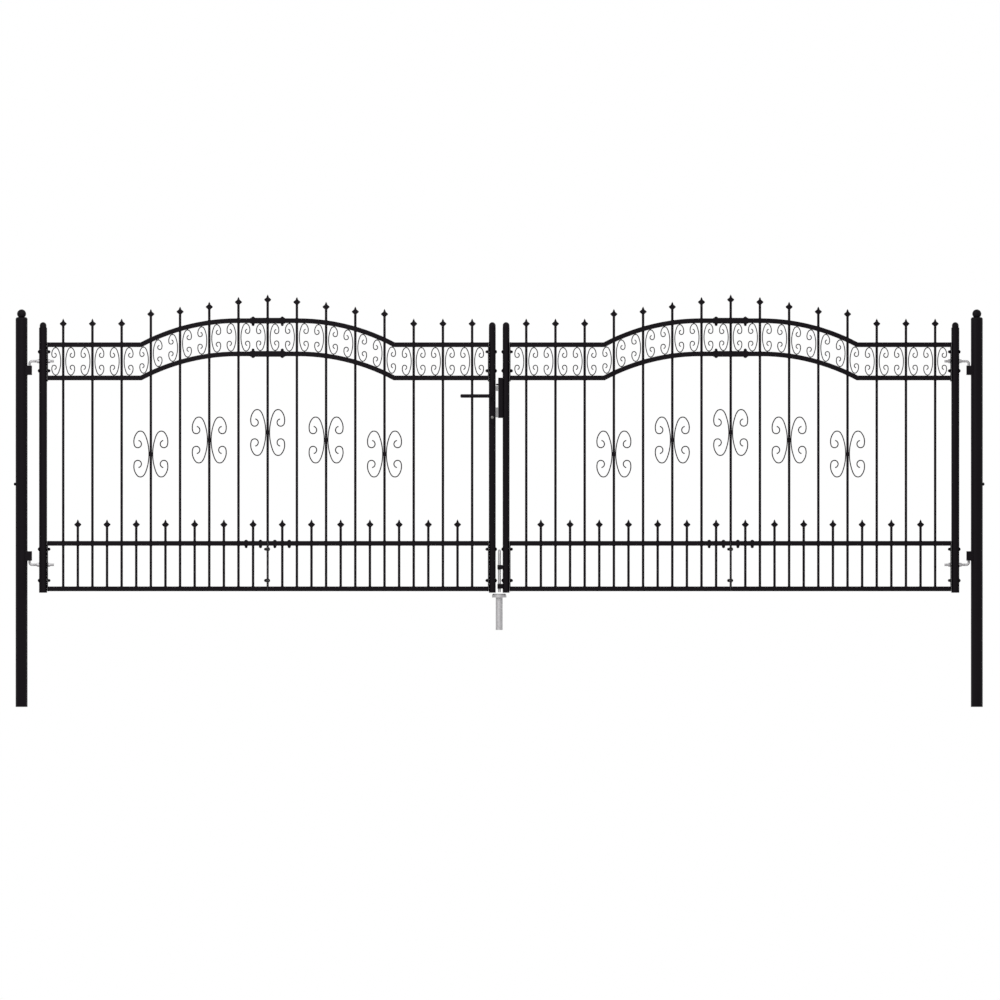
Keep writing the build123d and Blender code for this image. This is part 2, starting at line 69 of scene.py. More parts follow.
# Turned outlines, as shares of height and of radius from the seat upwards
DOME_SHARES = ((0, 1), (0.12, 1), (0.38, 0.93), (0.66, 0.75), (0.86, 0.52), (0.97, 0.26), (1, 0.05))
WASHER_SHARES = ((0, 0.97), (0.2, 1), (0.8, 1), (1, 0.97))
NUT_SHARES = ((0, 0.93), (0.12, 1), (0.86, 1), (1, 0.9))
STUD_SHARES = ((0, 1), (0.82, 1), (1, 0.82))
WASHER_SIDES, NUT_SIDES, DOME_SIDES, LATHE_SIDES = 24, 6, 20, 40
FASTENER_SIZES = ("Washer Diameter", "Washer", "Diameter", "Height", "Dome Diameter", "Dome Height")

# Fasteners: domes and rod ends as shares of what they stand on,
# and the small nut on a post as shares of a cap nut
CAP_DOME_SHARE = 0.92
ROD_END_SHARE = 1.06
SIDE_WASHER_SHARE, SIDE_NUT_SHARE, SIDE_DOME_SHARE = 0.8, 0.7, 0.9

# Screw threads: steps to a turn, sides of the ridge, and its radius as a share of the pitch
THREAD_STEPS, THREAD_SIDES, THREAD_SHARE = 18, 4, 0.36

# Welds: steps and sides of a bead, sides of a seam, and the least and greatest swelling of each,
# half a scroll's seam as a share of the bar's depth, the bare end of a bracket's seam as a share of a rail,
# and the steps of a seam across a post's face
BEAD_STEPS, BEAD_SIDES, BEAD_SWELL = 12, 4, (0.72, 1.2)
SEAM_SIDES, SEAM_SWELL = 6, (0.78, 1.15)
SEAM_DEPTH_SHARE, SEAM_END_SHARE = 0.42, 0.1
BLOCK_STEPS = 12

# Long bars on each side of a leaf's centre
LONG_BARS = 7

# Stile plugs: radii of the shank's end, the shank's root and the rim, and the rounding of the rim's edge
PLUG_SHARES = (0.80, 0.84, 0.97)
PLUG_EDGE_SHARES = (0.94, 0.5)

# Key plug as a share of the cylinder's plug, and the corners of its slot as shares of its own radius
KEY_PLUG_SHARE = 0.94
KEY_SLOT_SHARES = (
    (-0.1, -0.62), (0.16, -0.62), (0.16, -0.1), (0.3, 0.1),
    (0.3, 0.5), (-0.14, 0.5), (-0.14, 0.05), (-0.1, 0.0),
)

SEEDS = {
    "bolt_heads": 3, "cap_nuts": 5, "hinge_nuts": 7, "weld_beads": 11,
    "side_nuts": 13, "rail_ends": 17, "seams": 19,
}

# Points closer than this are one, and edges shallower than this angle are shaded smooth
SAME_POINT = 1e-6
SMOOTH_DEGREES = 40

# Finishes: swing of a coat's tone and gloss and strength of its grain; on bare metal the swing of gloss,
# the scales of grain and drift, and the strength and depth of the grain
COAT_TONE_SHARE, COAT_GLOSS_SWING, COAT_GRAIN_STRENGTH = 0.22, 0.07, 0.35
METAL_GLOSS_SWING, METAL_SCALES, METAL_RELIEF = 0.1, (900, 30), (0.2, 0.0001)

# Scrolls of flat bar: radius as a share of the scroll's width, and turn in degrees, from back to curl,
# with the usual turn of one step, the fewest steps of an arc and the steps of a rounded edge
SCROLL_RADIUS_SHARES = (3.3, 1.05, 0.285, 0.915, 0.24)
SCROLL_TURNS = (20, 16, 104, 54, 246)
STEP_TURN = 9
FEWEST_STEPS = 5
EDGE_STEPS = 2


# Settings

def colour(label, about, default):
    """Setting of one colour."""
    return bpy.props.FloatVectorProperty(
        name=label, description=about, subtype="COLOR", size=len(default), min=0, max=1, default=default
    )


def length(label, about, default):
    """Setting of one length."""
    return bpy.props.FloatProperty(name=label, description=about, unit="LENGTH", default=default)


def lengths(label, about, default):
    """Setting of several like lengths."""
    return bpy.props.FloatVectorProperty(
        name=label, description=about, size=len(default), unit="LENGTH", default=default
    )


class GateFinish(bpy.types.PropertyGroup):
    """Colours of the gate's finishes."""

    coat: colour("Black coat", "Powder coat on the steelwork", (0.0057, 0.0041, 0.0058))
    plastic: colour("Black plastic", "Caps and plugs", (0.0057, 0.0043, 0.0058))
    zinc: colour("Zinc", "Galvanised rods, nuts and socket", (0.475, 0.466, 0.475))
    steel: colour("Lock steel", "Latch, dead bolt and lock case", (0.245, 0.243, 0.245))
    nickel: colour("Nickel", "Lock cylinder", (0.15, 0.147, 0.140))


class GateSizes(bpy.types.PropertyGroup):
    """Sizes and levels of the fasteners, welds and trim."""

    bolt_levels: lengths(
        "Stile bolt levels", "Heights of the bolts through each stile",
        (1.4915, 1.4117, 0.6625, 0.5310),
    )
    top_rail: length("Top rail", "Middle line of the top rail at the leaf's ends", 1.5212)
    second_rail: length("Second rail", "Middle line of the second rail at the leaf's ends", 1.3818)
    mid_rail: length("Mid rail", "Middle line of the mid rail", 0.687)
    bottom_rail: length("Bottom rail", "Middle line of the bottom rail", 0.496)
    rail: length("Rail", "Side of the square rails", 0.020)
    bar: length("Bar", "Side of the square bars", 0.0105)
    bar_pitch: length("Bar pitch", "Distance between long bars", 0.12267)
    arch_rise: length("Arch rise", "Rise of the arched rails", 0.101)
    arch_radius: length("Arch radius", "Radius of the arched rails", 0.865)
    arch_flat: length("Arch flat", "Half length of the arch's flat crown", 0.126)
    end_plate: length("End plate", "Thickness of the plates at the stiles", 0.004)
    centre_plate: length("Centre plate", "Thickness of the plates at the leaf's centre", 0.0048)
    sleeve: length("Sleeve", "Outer side of the splice sleeves", 0.0244)
    sleeve_bolts: lengths(
        "Mid rail bolts", "Distances of the mid rails' splice bolts from the leaf's centre",
        (0.0302, 0.0905),
    )
    head_diameter: length("Head diameter", "Domed bolt heads", 0.0142)
    head_height: length("Head height", "Domed bolt heads", 0.0048)
    nut_across: length("Nut across flats", "Cap nuts and splice nuts", 0.0122)
    nut_height: length("Nut height", "Hexagon of the nuts", 0.0055)
    nut_dome: length("Nut dome", "Dome or bolt end past the hexagon", 0.0042)
    washer_diameter: length("Washer diameter", "Plain washers under heads and nuts", 0.0158)
    washer: length("Washer", "Thickness of the washers", 0.0012)
    hinge_nut_across: length("Hinge nut across flats", "Nuts on the hinge rods", 0.0165)
    hinge_nut_height: length("Hinge nut height", "Nuts on the hinge rods", 0.0080)
    hinge_washer: length("Hinge washer", "Diameter of the washers on the hinge rods", 0.0200)
    hinge_levels: lengths("Hinge rod levels", "Heights of the hinge rods", (1.452, 0.597))
    rod_diameter: length("Hinge rod", "Diameter of the hinge rods", 0.010)
    thread_pitch: length("Thread pitch", "Screw thread on the hinge rods", 0.0015)
    weld_bead: length("Weld bead", "Radius of the weld beads", 0.0016)
    weld_ripple: length("Weld ripple", "Distance between the ripples of a weld seam", 0.0022)
    bracket_seam: length(
        "Bracket seam", "Distance of the keep's and guides' seams from the stile's middle", 0.006
    )
    post_nut_level: length("Post nut level", "Height of the nut on each post's outer side", 0.936)
    plug_drop: length("Plug drop", "Rim of a stile's plug under the tube's end", 0.0014)
    plug_shank: length("Plug shank", "Part of a stile's plug inside the tube", 0.010)
    key_plug_proud: length("Key plug", "Half thickness of a key plug's face", 0.0006)
    key_plug_bevel: length("Key plug bevel", "Bevel round a key plug's face and slot", 0.0003)
    frieze_stock: length("Frieze stock", "Thickness of the frieze scrolls' bar", 0.004)
    bar_scroll_stock: length("Bar scroll stock", "Thickness of the bar scrolls' bar", 0.0046)
    scroll_depth: length("Scroll depth", "Width of the scrolls' bar from front to back", 0.010)
    lip_levels: lengths("Keep lip levels", "Lower and upper face of the lip over the latch", (1.3504, 1.3576))
    lip_gap: length("Keep lip gap", "Room between the lip and the left meeting stile", 0.0012)
    seat_rim: length("Cylinder seat rim", "Reach of the cylinder's seat past the cylinder", 0.0012)
    seat_depth: length("Cylinder seat depth", "Depth of the cylinder's seat inside the stile", 0.006)
    edge_round: length("Edge round", "Rounding of the scrolls' bar and of small blocks", 0.0010)


class GateStage(bpy.types.PropertyGroup):
    """Camera, light and floor."""

    view_width: length("View width", "Width of the square-on view", 4.2)
    view_centre: lengths("View centre", "Point in the middle of the view", (2.0094, 0, 0.8691))
    view_distance: length("View distance", "Camera's distance in front of the gate", 20.0)
    floor_colour: colour("Floor", "Pale studio floor", (0.76, 0.76, 0.76))
    floor_reach: length("Floor reach", "Half width of the floor", 45.0)
    sky_light: bpy.props.FloatProperty(
        name="Sky light", description="Strength of the even light from all round", default=0.80
    )
    key_light: bpy.props.FloatProperty(
        name="Key light", description="Power of the large front lamp", unit="POWER", default=170.0
    )
    fill_light: bpy.props.FloatProperty(
        name="Fill light", description="Power of the lamp behind", unit="POWER", default=80.0
    )
    key_shift: lengths(
        "Key lamp's place", "Place of the front lamp from the view's centre", (-1.8, -4.5, 3.2)
    )
    key_size: length("Key lamp's size", "Side of the front lamp", 4.5)
    fill_shift: lengths(
        "Fill lamp's place", "Place of the lamp behind from the view's centre", (2.5, 4.5, 3.0)
    )
    fill_size: length("Fill lamp's size", "Side of the lamp behind", 4.0)


# Node helpers

def put(tree, kind, inputs=None, **settings):
    """Add a node, set its options and its inputs, and link the inputs that are sockets."""
    node = tree.nodes.new(kind)
    for key, value in settings.items():
        setattr(node, key, value)
    for key, value in (inputs or {}).items():
        socket = node.inputs[key] if isinstance(key, int) else socket_of(node, key)
        if isinstance(value, bpy.types.NodeSocket):
            tree.links.new(value, socket)
        else:
            socket.default_value = value
    return node


def socket_of(node, key):
    """Input of a node by its identifier, or else by its name."""
    named = {socket.name: socket for socket in reversed(node.inputs)}
    return {socket.identifier: socket for socket in node.inputs}.get(key) or named[key]


def calc(tree, operation, first, second=0.0):
    """Output of one Math node."""
    return put(tree, "ShaderNodeMath", {0: first, 1: second}, operation=operation).outputs[0]


def sized_tree(name, sizes, counts=()):
    """Geometry Nodes tree with points in, a mesh out, named sizes, named whole numbers and a material."""
    tree = bpy.data.node_groups.new(name, "GeometryNodeTree")
    tree.is_modifier = True
    face = tree.interface
    face.new_socket("Points", in_out="INPUT", socket_type="NodeSocketGeometry")
    for label in sizes:
        face.new_socket(label, in_out="INPUT", socket_type="NodeSocketFloat").subtype = "DISTANCE"
    for label in counts:
        face.new_socket(label, in_out="INPUT", socket_type="NodeSocketInt")
    face.new_socket("Material", in_out="INPUT", socket_type="NodeSocketMaterial")
    face.new_socket("Mesh", in_out="OUTPUT", socket_type="NodeSocketGeometry")
    return tree, tree.nodes.new("NodeGroupInput").outputs


def share_curve(tree, along, shares):
    """Value that runs straight from share to share as the input runs from 0 to 1."""
    node = put(tree, "ShaderNodeFloatCurve", {"Value": along})
    line = node.mapping.curves[0]
    last = len(shares) - 1
    line.points[0].location = (0, shares[0])
    line.points[1].location = (1, shares[last])
    for index in range(1, last):
        line.points.new(index / last, shares[index])
    for point in line.points:
        point.handle_type = "VECTOR"
    node.mapping.update()
    return node.outputs[0]


def ring(tree, sides, radius):
    """Round or many-sided section of a sweep."""
    return put(tree, "GeometryNodeCurvePrimitiveCircle", {"Resolution": sides, "Radius": radius}).outputs[0]


def swept(tree, line, section, scale=1.0, caps=True):
    """Section swept along a line and scaled on the way."""
    inputs = {"Curve": line, "Profile Curve": section, "Scale": scale, "Fill Caps": caps}
    return put(tree, "GeometryNodeCurveToMesh", inputs).outputs[0]


def swelling(tree, given, limits):
    """Random scale between two limits, for the lumps of a weld."""
    least, greatest = limits
    inputs = {"Min_001": least, "Max_001": greatest, "Seed": given["Seed"]}
    return put(tree, "FunctionNodeRandomValue", inputs).outputs[1]


def turned(tree, sides, radius, height, shares, lift=0.0):
    """Closed turned or many-sided shape on +Z, its outline given as shares of height and radius."""
    line = put(tree, "GeometryNodeCurvePrimitiveLine", {"Start": (0, 0, 0), "End": (0, 0, 1)})
    row = put(tree, "GeometryNodeResampleCurve", {"Curve": line.outputs[0], "Count": len(shares)})
    along = put(tree, "GeometryNodeSplineParameter").outputs["Factor"]
    rise = calc(tree, "MULTIPLY", share_curve(tree, along, [z for z, _ in shares]), height)
    place = put(tree, "ShaderNodeCombineXYZ", {"Z": calc(tree, "ADD", rise, lift)})
    spine = put(tree, "GeometryNodeSetPosition", {"Geometry": row.outputs[0], "Position": place.outputs[0]})
    reach = share_curve(tree, along, [r for _, r in shares])
    return swept(tree, spine.outputs[0], ring(tree, sides, radius), reach)


def seat_all(tree, given, shapes, spin=True):
    """Set the joined shapes on every point, with +Z along its axis attribute, and finish the tree."""
    joined = put(tree, "GeometryNodeJoinGeometry")
    for shape in shapes:
        tree.links.new(shape, joined.inputs[0])
    axis = put(tree, "GeometryNodeInputNamedAttribute", {"Name": "axis"}, data_type="FLOAT_VECTOR")
    turn = put(
        tree, "FunctionNodeAlignRotationToVector", {"Vector": axis.outputs["Attribute"]}, axis="Z"
    ).outputs[0]
    if spin:
        chance = put(tree, "FunctionNodeRandomValue", {"Max_001": 2 * math.pi, "Seed": given["Seed"]})
        about = put(tree, "ShaderNodeCombineXYZ", {"Z": chance.outputs[1]})
        euler = put(tree, "FunctionNodeEulerToRotation", {"Euler": about.outputs[0]})
        turn = put(
            tree, "FunctionNodeRotateRotation",
            {"Rotation": turn, "Rotate By": euler.outputs[0]}, rotation_space="LOCAL",
        ).outputs[0]
    placed = put(
        tree, "GeometryNodeInstanceOnPoints",
        {"Points": given["Points"], "Instance": joined.outputs[0], "Rotation": turn},
    )
    close_tree(tree, given, placed.outputs[0])


def close_tree(tree, given, shape):
    """Realize the instances, set the material and lead the mesh out of the tree."""
    real = put(tree, "GeometryNodeRealizeInstances", {"Geometry": shape})
    done = put(tree, "GeometryNodeSetMaterial", {"Geometry": real.outputs[0], "Material": given["Material"]})
    out = tree.nodes.new("NodeGroupOutput")
    tree.links.new(done.outputs[0], out.inputs[0])


def headed_tree(name, nut):
    """Washer with a domed head, a cap nut, or a plain nut with its bolt end, on every seat point."""
    tree, given = sized_tree(name, FASTENER_SIZES, ("Seed",))
    washer_radius = calc(tree, "DIVIDE", given["Washer Diameter"], 2.0)
    shapes = [turned(tree, WASHER_SIDES, washer_radius, given["Washer"], WASHER_SHARES)]
    radius = calc(tree, "DIVIDE", given["Diameter"], 2.0)
    dome_radius = calc(tree, "DIVIDE", given["Dome Diameter"], 2.0)
    lift = given["Washer"]
    if nut:
        corner = calc(tree, "MULTIPLY", radius, 2 / math.sqrt(3))
        shapes.append(turned(tree, NUT_SIDES, corner, given["Height"], NUT_SHARES, lift))
        lift = calc(tree, "ADD", given["Washer"], given["Height"])
    end_shares = STUD_SHARES if nut == "plain" else DOME_SHARES
    shapes.append(turned(tree, DOME_SIDES, dome_radius, given["Dome Height"], end_shares, lift))
    seat_all(tree, given, shapes)
    return tree


def fastener(washer, body, dome, seed):
    """Inputs of a fastener from the diameter and height of its washer, its body and its dome or bolt end."""
    return dict(zip(FASTENER_SIZES, (*washer, *body, *dome))) | {"Seed": SEEDS[seed]}


def thread_tree():
    """Screw thread wound on a rod from every point, along its axis attribute."""
    tree, given = sized_tree("screw_thread", ("Rod Diameter", "Length", "Pitch"))
    radius = calc(tree, "DIVIDE", given["Rod Diameter"], 2.0)
    coil = put(
        tree, "GeometryNodeCurveSpiral",
        {
            "Resolution": THREAD_STEPS,
            "Rotations": calc(tree, "DIVIDE", given["Length"], given["Pitch"]),
            "Start Radius": radius,
            "End Radius": radius,
            "Height": given["Length"],
        },
    )
    ridge = ring(tree, THREAD_SIDES, calc(tree, "MULTIPLY", given["Pitch"], THREAD_SHARE))
    seat_all(tree, given, [swept(tree, coil.outputs[0], ridge)], spin=False)
    return tree


def bead_tree():
    """Lumpy weld bead round a square bar on every point, square to its axis attribute."""
    tree, given = sized_tree("weld_bead", ("Bar", "Bead"), ("Seed",))
    sides = {"Width": given["Bar"], "Height": given["Bar"]}
    square = put(tree, "GeometryNodeCurvePrimitiveQuadrilateral", sides)
    path = put(tree, "GeometryNodeResampleCurve", {"Curve": square.outputs[0], "Count": BEAD_STEPS})
    section = ring(tree, BEAD_SIDES, given["Bead"])
    bead = swept(tree, path.outputs[0], section, swelling(tree, given, BEAD_SWELL), caps=False)
    seat_all(tree, given, [bead], spin=False)
    return tree


def seam_tree():
    """Lumpy weld seam laid along every line of the mesh."""
    tree, given = sized_tree("weld_seam", ("Bead", "Ripple"), ("Seed",))
    lines = put(tree, "GeometryNodeMeshToCurve", {"Mesh": given["Points"]})
    ripples = {"Curve": lines.outputs[0], "Length": given["Ripple"]}
    path = put(tree, "GeometryNodeResampleCurve", ripples, mode="LENGTH")
    section = ring(tree, SEAM_SIDES, given["Bead"])
    close_tree(tree, given, swept(tree, path.outputs[0], section, swelling(tree, given, SEAM_SWELL)))
    return tree


def scroll_tree():
    """Flat bar with rounded edges swept along every line of the mesh."""
    tree, given = sized_tree("scroll_bar", ("Stock", "Depth", "Edge Round"))
    lines = put(tree, "GeometryNodeMeshToCurve", {"Mesh": given["Points"]})
    flat = put(
        tree, "GeometryNodeCurvePrimitiveQuadrilateral", {"Width": given["Depth"], "Height": given["Stock"]}
    )
    section = put(
        tree, "GeometryNodeFilletCurve",
        {"Curve": flat.outputs[0], "Radius": given["Edge Round"], "Count": EDGE_STEPS}, mode="POLY",
    )
    upright = put(
        tree, "GeometryNodeSetCurveNormal", {"Curve": lines.outputs[0], "Normal": (0, 1, 0)}, mode="FREE"
    )
    close_tree(tree, given, swept(tree, upright.outputs[0], section.outputs[0]))
    return tree


# Mesh helpers

def linked(name, mesh):
    """New object of a mesh, in the scene, at the origin."""
    obj = bpy.data.objects.new(name, mesh)
    bpy.context.scene.collection.objects.link(obj)
    return obj


def grow(name, mesh, tree, inputs):
    """Object with the plain mesh that a tree makes of a mesh, its faces turned outwards."""
    obj = linked(name, mesh)
    modifier = obj.modifiers.new("grow", "NODES")
    modifier.node_group = tree
    for item in tree.interface.items_tree:
        if item.in_out == "INPUT" and item.name in inputs:
            modifier[item.identifier] = inputs[item.name]
    graph = bpy.context.evaluated_depsgraph_get()
    made = bpy.data.meshes.new_from_object(obj.evaluated_get(graph), depsgraph=graph)
    obj.modifiers.clear()
    obj.data = made
    made.name = name
    if not made.polygons:
        raise RuntimeError(f"{name}: the tree made no faces")
    outward(made)
    return obj


def outward(mesh):
    """Turn every face outwards and shade smooth across the shallow edges."""
    work = bmesh.new()
    work.from_mesh(mesh)
    bmesh.ops.remove_doubles(work, verts=work.verts, dist=SAME_POINT)
    bmesh.ops.recalc_face_normals(work, faces=work.faces)
    for face in work.faces:
        face.smooth = True
    shallow = math.radians(SMOOTH_DEGREES)
    for edge in work.edges:
        edge.smooth = len(edge.link_faces) == 2 and edge.calc_face_angle(math.pi) < shallow
    work.to_mesh(mesh)
    work.free()


def seats(points):
    """Mesh of loose points, each with the axis that its fastener stands on."""
    mesh = bpy.data.meshes.new("seats")
    mesh.from_pydata([place for place, _ in points], [], [])
    axis = mesh.attributes.new("axis", "FLOAT_VECTOR", "POINT")
    axis.data.foreach_set("vector", [part for _, way in points for part in way])
    return mesh


def wires(paths):
    """Mesh of loose lines, one along each list of points."""
    verts = [point for path in paths for point in path]
    edges, first = [], 0
    for path in paths:
        edges += [(first + index, first + index + 1) for index in range(len(path) - 1)]
        first += len(path)
    mesh = bpy.data.meshes.new("wires")
    mesh.from_pydata(verts, edges, [])
    return mesh


def settle(obj, body):
    """Ride a finished piece on its body."""
    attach(obj, body)


def fit(name, mesh, tree, inputs, body, slot):
    """Grow a piece in a slot's finish and settle it on its body."""
    obj = grow(name, mesh, tree, inputs | {"Material": finish(slot)})
    settle(obj, body)
    return obj


def dressed(name, mesh, slot):
    """Object of a mesh in a slot's finish, with its faces turned outwards."""
    mesh.materials.clear()
    mesh.materials.append(finish(slot))
    outward(mesh)
    return linked(name, mesh)


def solid(name, work, slot):
    """Object of a shape that was worked in bmesh, in a slot's finish."""
    mesh = bpy.data.meshes.new(name)
    work.to_mesh(mesh)
    work.free()
    return dressed(name, mesh, slot)


def middle(node):
    """Middle of a node's box."""
    low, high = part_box(node)
    return (low + high) / 2


def tube(node):
    """Place along the gate and radius of an upright tube."""
    low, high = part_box(node)
    return (low.x + high.x) / 2, (high.y - low.y) / 2


def stile_sides(leaf, stile, sizes):
    """Way from a stile into its leaf, the stile's outer side and the face of its end plates."""
    way = INWARD[leaf] if stile == "hinge" else -INWARD[leaf]
    centre, radius = tube(f"{leaf}_{stile}_stile")
    return way, centre - way * radius, centre + way * (radius + sizes.end_plate)


def tree_named(name, make, *args):
    """A tree that is built once and used again."""
    found = bpy.data.node_groups.get(name)
    return found or make(*args)


# Shader groups and finishes

def shader_group(name, inputs, outputs):
    """Empty shader group of named values, with its inputs, its outputs and the piece's own coordinates."""
    group = bpy.data.node_groups.new(name, "ShaderNodeTree")
    for way, labels in (("INPUT", inputs), ("OUTPUT", outputs)):
        for label in labels:
            group.interface.new_socket(label, in_out=way, socket_type="NodeSocketFloat")
    given = group.nodes.new("NodeGroupInput").outputs
    out = group.nodes.new("NodeGroupOutput").inputs
    return group, given, out, put(group, "ShaderNodeTexCoord").outputs["Object"]


def grain_group():
    """Even fine grain as a height, and a broad soft drift as a mask."""
    labels = ("Grain Scale", "Drift Scale"), ("Height", "Drift")
    group, given, out, place = shader_group("surface_grain", *labels)
    fine = {"Vector": place, "Scale": given["Grain Scale"], "Detail": 3.0, "Roughness": 0.55}
    broad = {"Vector": place, "Scale": given["Drift Scale"], "Detail": 4.0, "Roughness": 0.6}
    for label, inputs in (("Height", fine), ("Drift", broad)):
        group.links.new(put(group, "ShaderNodeTexNoise", inputs).outputs[0], out[label])
    return group


def spangle_group():
    """Zinc spangle: flat crystals of slightly different tone, as a mask."""
    group, given, out, place = shader_group("zinc_spangle", ("Crystal Scale",), ("Tone",))
    inputs = {"Vector": place, "Scale": given["Crystal Scale"], "Randomness": 1.0}
    cells = put(group, "ShaderNodeTexVoronoi", inputs)
    tone = put(group, "ShaderNodeSeparateColor", {"Color": cells.outputs["Color"]})
    group.links.new(tone.outputs[0], out["Tone"])
    return group


def new_finish(name):
    """Empty material with its Principled shader led to the output."""
    material = bpy.data.materials.new(name)
    material.use_nodes = True
    tree = material.node_tree
    tree.nodes.clear()
    shader = put(tree, "ShaderNodeBsdfPrincipled")
    out = put(tree, "ShaderNodeOutputMaterial")
    tree.links.new(shader.outputs[0], out.inputs["Surface"])
    return material, tree, shader


def between(tree, mask, low, high):
    """Value that runs from low to high with a mask."""
    return put(tree, "ShaderNodeMapRange", {"Value": mask, "To Min": low, "To Max": high}).outputs[0]


def toned(tree, mask, tone, share):
    """Colour that runs from a darker to a lighter tone with a mask."""
    dark = tuple(part * (1 - share) for part in tone) + (1,)
    light = tuple(min(part * (1 + share), 1) for part in tone) + (1,)
    mix = put(tree, "ShaderNodeMix", {"Factor": mask}, data_type="RGBA")
    ends = [socket for socket in mix.inputs if socket.type == "RGBA"]
    ends[0].default_value, ends[1].default_value = dark, light
    return next(socket for socket in mix.outputs if socket.type == "RGBA")


def add_grain(tree, shader, scales, gloss, relief):
    """Lay fine grain and a soft drift of gloss on a finish, and give the drift's mask."""
    grain, drift = scales
    roughness, swing = gloss
    strength, depth = relief
    texture = put(
        tree, "ShaderNodeGroup", {"Grain Scale": grain, "Drift Scale": drift},
        node_tree=tree_named("surface_grain", grain_group),
    ).outputs
    shine = between(tree, texture["Drift"], roughness - swing, roughness + swing)
    tree.links.new(shine, shader.inputs["Roughness"])
    bump = put(
        tree, "ShaderNodeBump", {"Height": texture["Height"], "Strength": strength, "Distance": depth}
    )
    tree.links.new(bump.outputs[0], shader.inputs["Normal"])
    return texture["Drift"]


def grained_finish(name, tone, grain, drift, depth, roughness, specular):
    """Moulded or powder-coated surface: fine grain, soft drift of tone and gloss."""
    material, tree, shader = new_finish(name)
    gloss, relief = (roughness, COAT_GLOSS_SWING), (COAT_GRAIN_STRENGTH, depth)
    mask = add_grain(tree, shader, (grain, drift), gloss, relief)
    tree.links.new(toned(tree, mask, tone, COAT_TONE_SHARE), shader.inputs["Base Color"])
    shader.inputs["Specular IOR Level"].default_value = specular
    return material


def metal_finish(name, tone, crystal, roughness, share):
    """Bare or plated metal: crystals of slightly different tone under a fine grain."""
    material, tree, shader = new_finish(name)
    spangle = put(
        tree, "ShaderNodeGroup", {"Crystal Scale": crystal},
        node_tree=tree_named("zinc_spangle", spangle_group),
    )
    tree.links.new(toned(tree, spangle.outputs["Tone"], tone, share), shader.inputs["Base Color"])
    shader.inputs["Metallic"].default_value = 1.0
    add_grain(tree, shader, METAL_SCALES, (roughness, METAL_GLOSS_SWING), METAL_RELIEF)
    return material


def finish(slot):
    """The material of a slot, made when it is first asked for."""
    name = f"{slot}_finish"
    found = bpy.data.materials.get(name)
    if found:
        return found
    colours = bpy.context.scene.gate_finish
    if slot == "black_coat":
        return grained_finish(
            name, colours.coat, grain=650, drift=3, depth=0.00003, roughness=0.42, specular=0.06
        )
    if slot == "black_plastic":
        return grained_finish(
            name, colours.plastic, grain=1400, drift=8, depth=0.00004, roughness=0.52, specular=0.07
        )
    if slot == "zinc":
        return metal_finish(name, colours.zinc, crystal=160, roughness=0.56, share=0.08)
    if slot == "lock_steel":
        return metal_finish(name, colours.steel, crystal=420, roughness=0.38, share=0.08)
    if slot == "nickel":
        return metal_finish(name, colours.nickel, crystal=700, roughness=0.34, share=0.05)
    raise RuntimeError(f"no finish is written for slot {slot}")


# Operators

class GATE_OT_finishes(bpy.types.Operator):
    """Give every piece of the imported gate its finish"""

    bl_idname = "gate.finishes"
    bl_label = "Finish the Steelwork"

    def execute(self, context):
        slots = {node: slot for slot, nodes in SLOT_NODES.items() for node in nodes}
        for name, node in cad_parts.items():
            node.data.materials.clear()
            node.data.materials.append(finish(slots.get(name, "black_coat")))
        return {"FINISHED"}


class GATE_OT_scrolls(bpy.types.Operator):
    """Sweep the C-scrolls of the frieze and of the bars"""

    bl_idname = "gate.scrolls"
    bl_label = "Sweep the Scrolls"

    def execute(self, context):
        sizes = context.scene.gate_sizes
        tree = tree_named("scroll_bar", scroll_tree)
        for leaf in INWARD:
            stocks = {"frieze_scrolls": sizes.frieze_stock, "bar_scrolls": sizes.bar_scroll_stock}
            for kind, stock in stocks.items():
                node = f"{leaf}_{kind}"
                lines = scroll_lines(islands(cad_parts[node].data), stock)
                inputs = {"Stock": stock, "Depth": sizes.scroll_depth, "Edge Round": sizes.edge_round}
                work = fit(f"{node}_swept", lines, tree, inputs, f"{leaf}_leaf", "black_coat")
                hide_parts(node)
        return {"FINISHED"}


def islands(mesh):
    """Points of each separate solid in a node's mesh."""
    work = bmesh.new()
    work.from_mesh(mesh)
    bmesh.ops.remove_doubles(work, verts=work.verts, dist=SAME_POINT)
    seen, found = set(), []
    for first in work.verts:
        if first in seen:
            continue
        seen.add(first)
        group = [first]
        for vert in group:
            near = [edge.other_vert(vert) for edge in vert.link_edges]
            fresh = [other for other in near if other not in seen]
            seen.update(fresh)
            group.extend(fresh)
        found.append([vert.co.copy() for vert in group])
    work.free()
    return found


def span(points):
    """Lower and upper corner of the box round some points."""
    return Vector(map(min, zip(*points))), Vector(map(max, zip(*points)))


def mean_x(points):
    """Mean place of some points along the gate."""
    return sum(point.x for point in points) / len(points)


def scroll_half(width, back):
    """Middle line of a scroll's upper half from the middle of its back, in its own plane."""
    points = [(0, 0), (0, back)]
    heading = 0
    for share, turn in zip(SCROLL_RADIUS_SHARES, SCROLL_TURNS):
        radius = share * width
        x, z = points[-1]
        steps = max(round(turn / STEP_TURN), FEWEST_STEPS)
        start = math.radians(heading)
        for step in range(1, steps + 1):
            angle = start + math.radians(turn * step / steps)
            across = x + radius * (math.cos(start) - math.cos(angle))
            points.append((across, z + radius * (math.sin(angle) - math.sin(start))))
        heading += turn
    return points


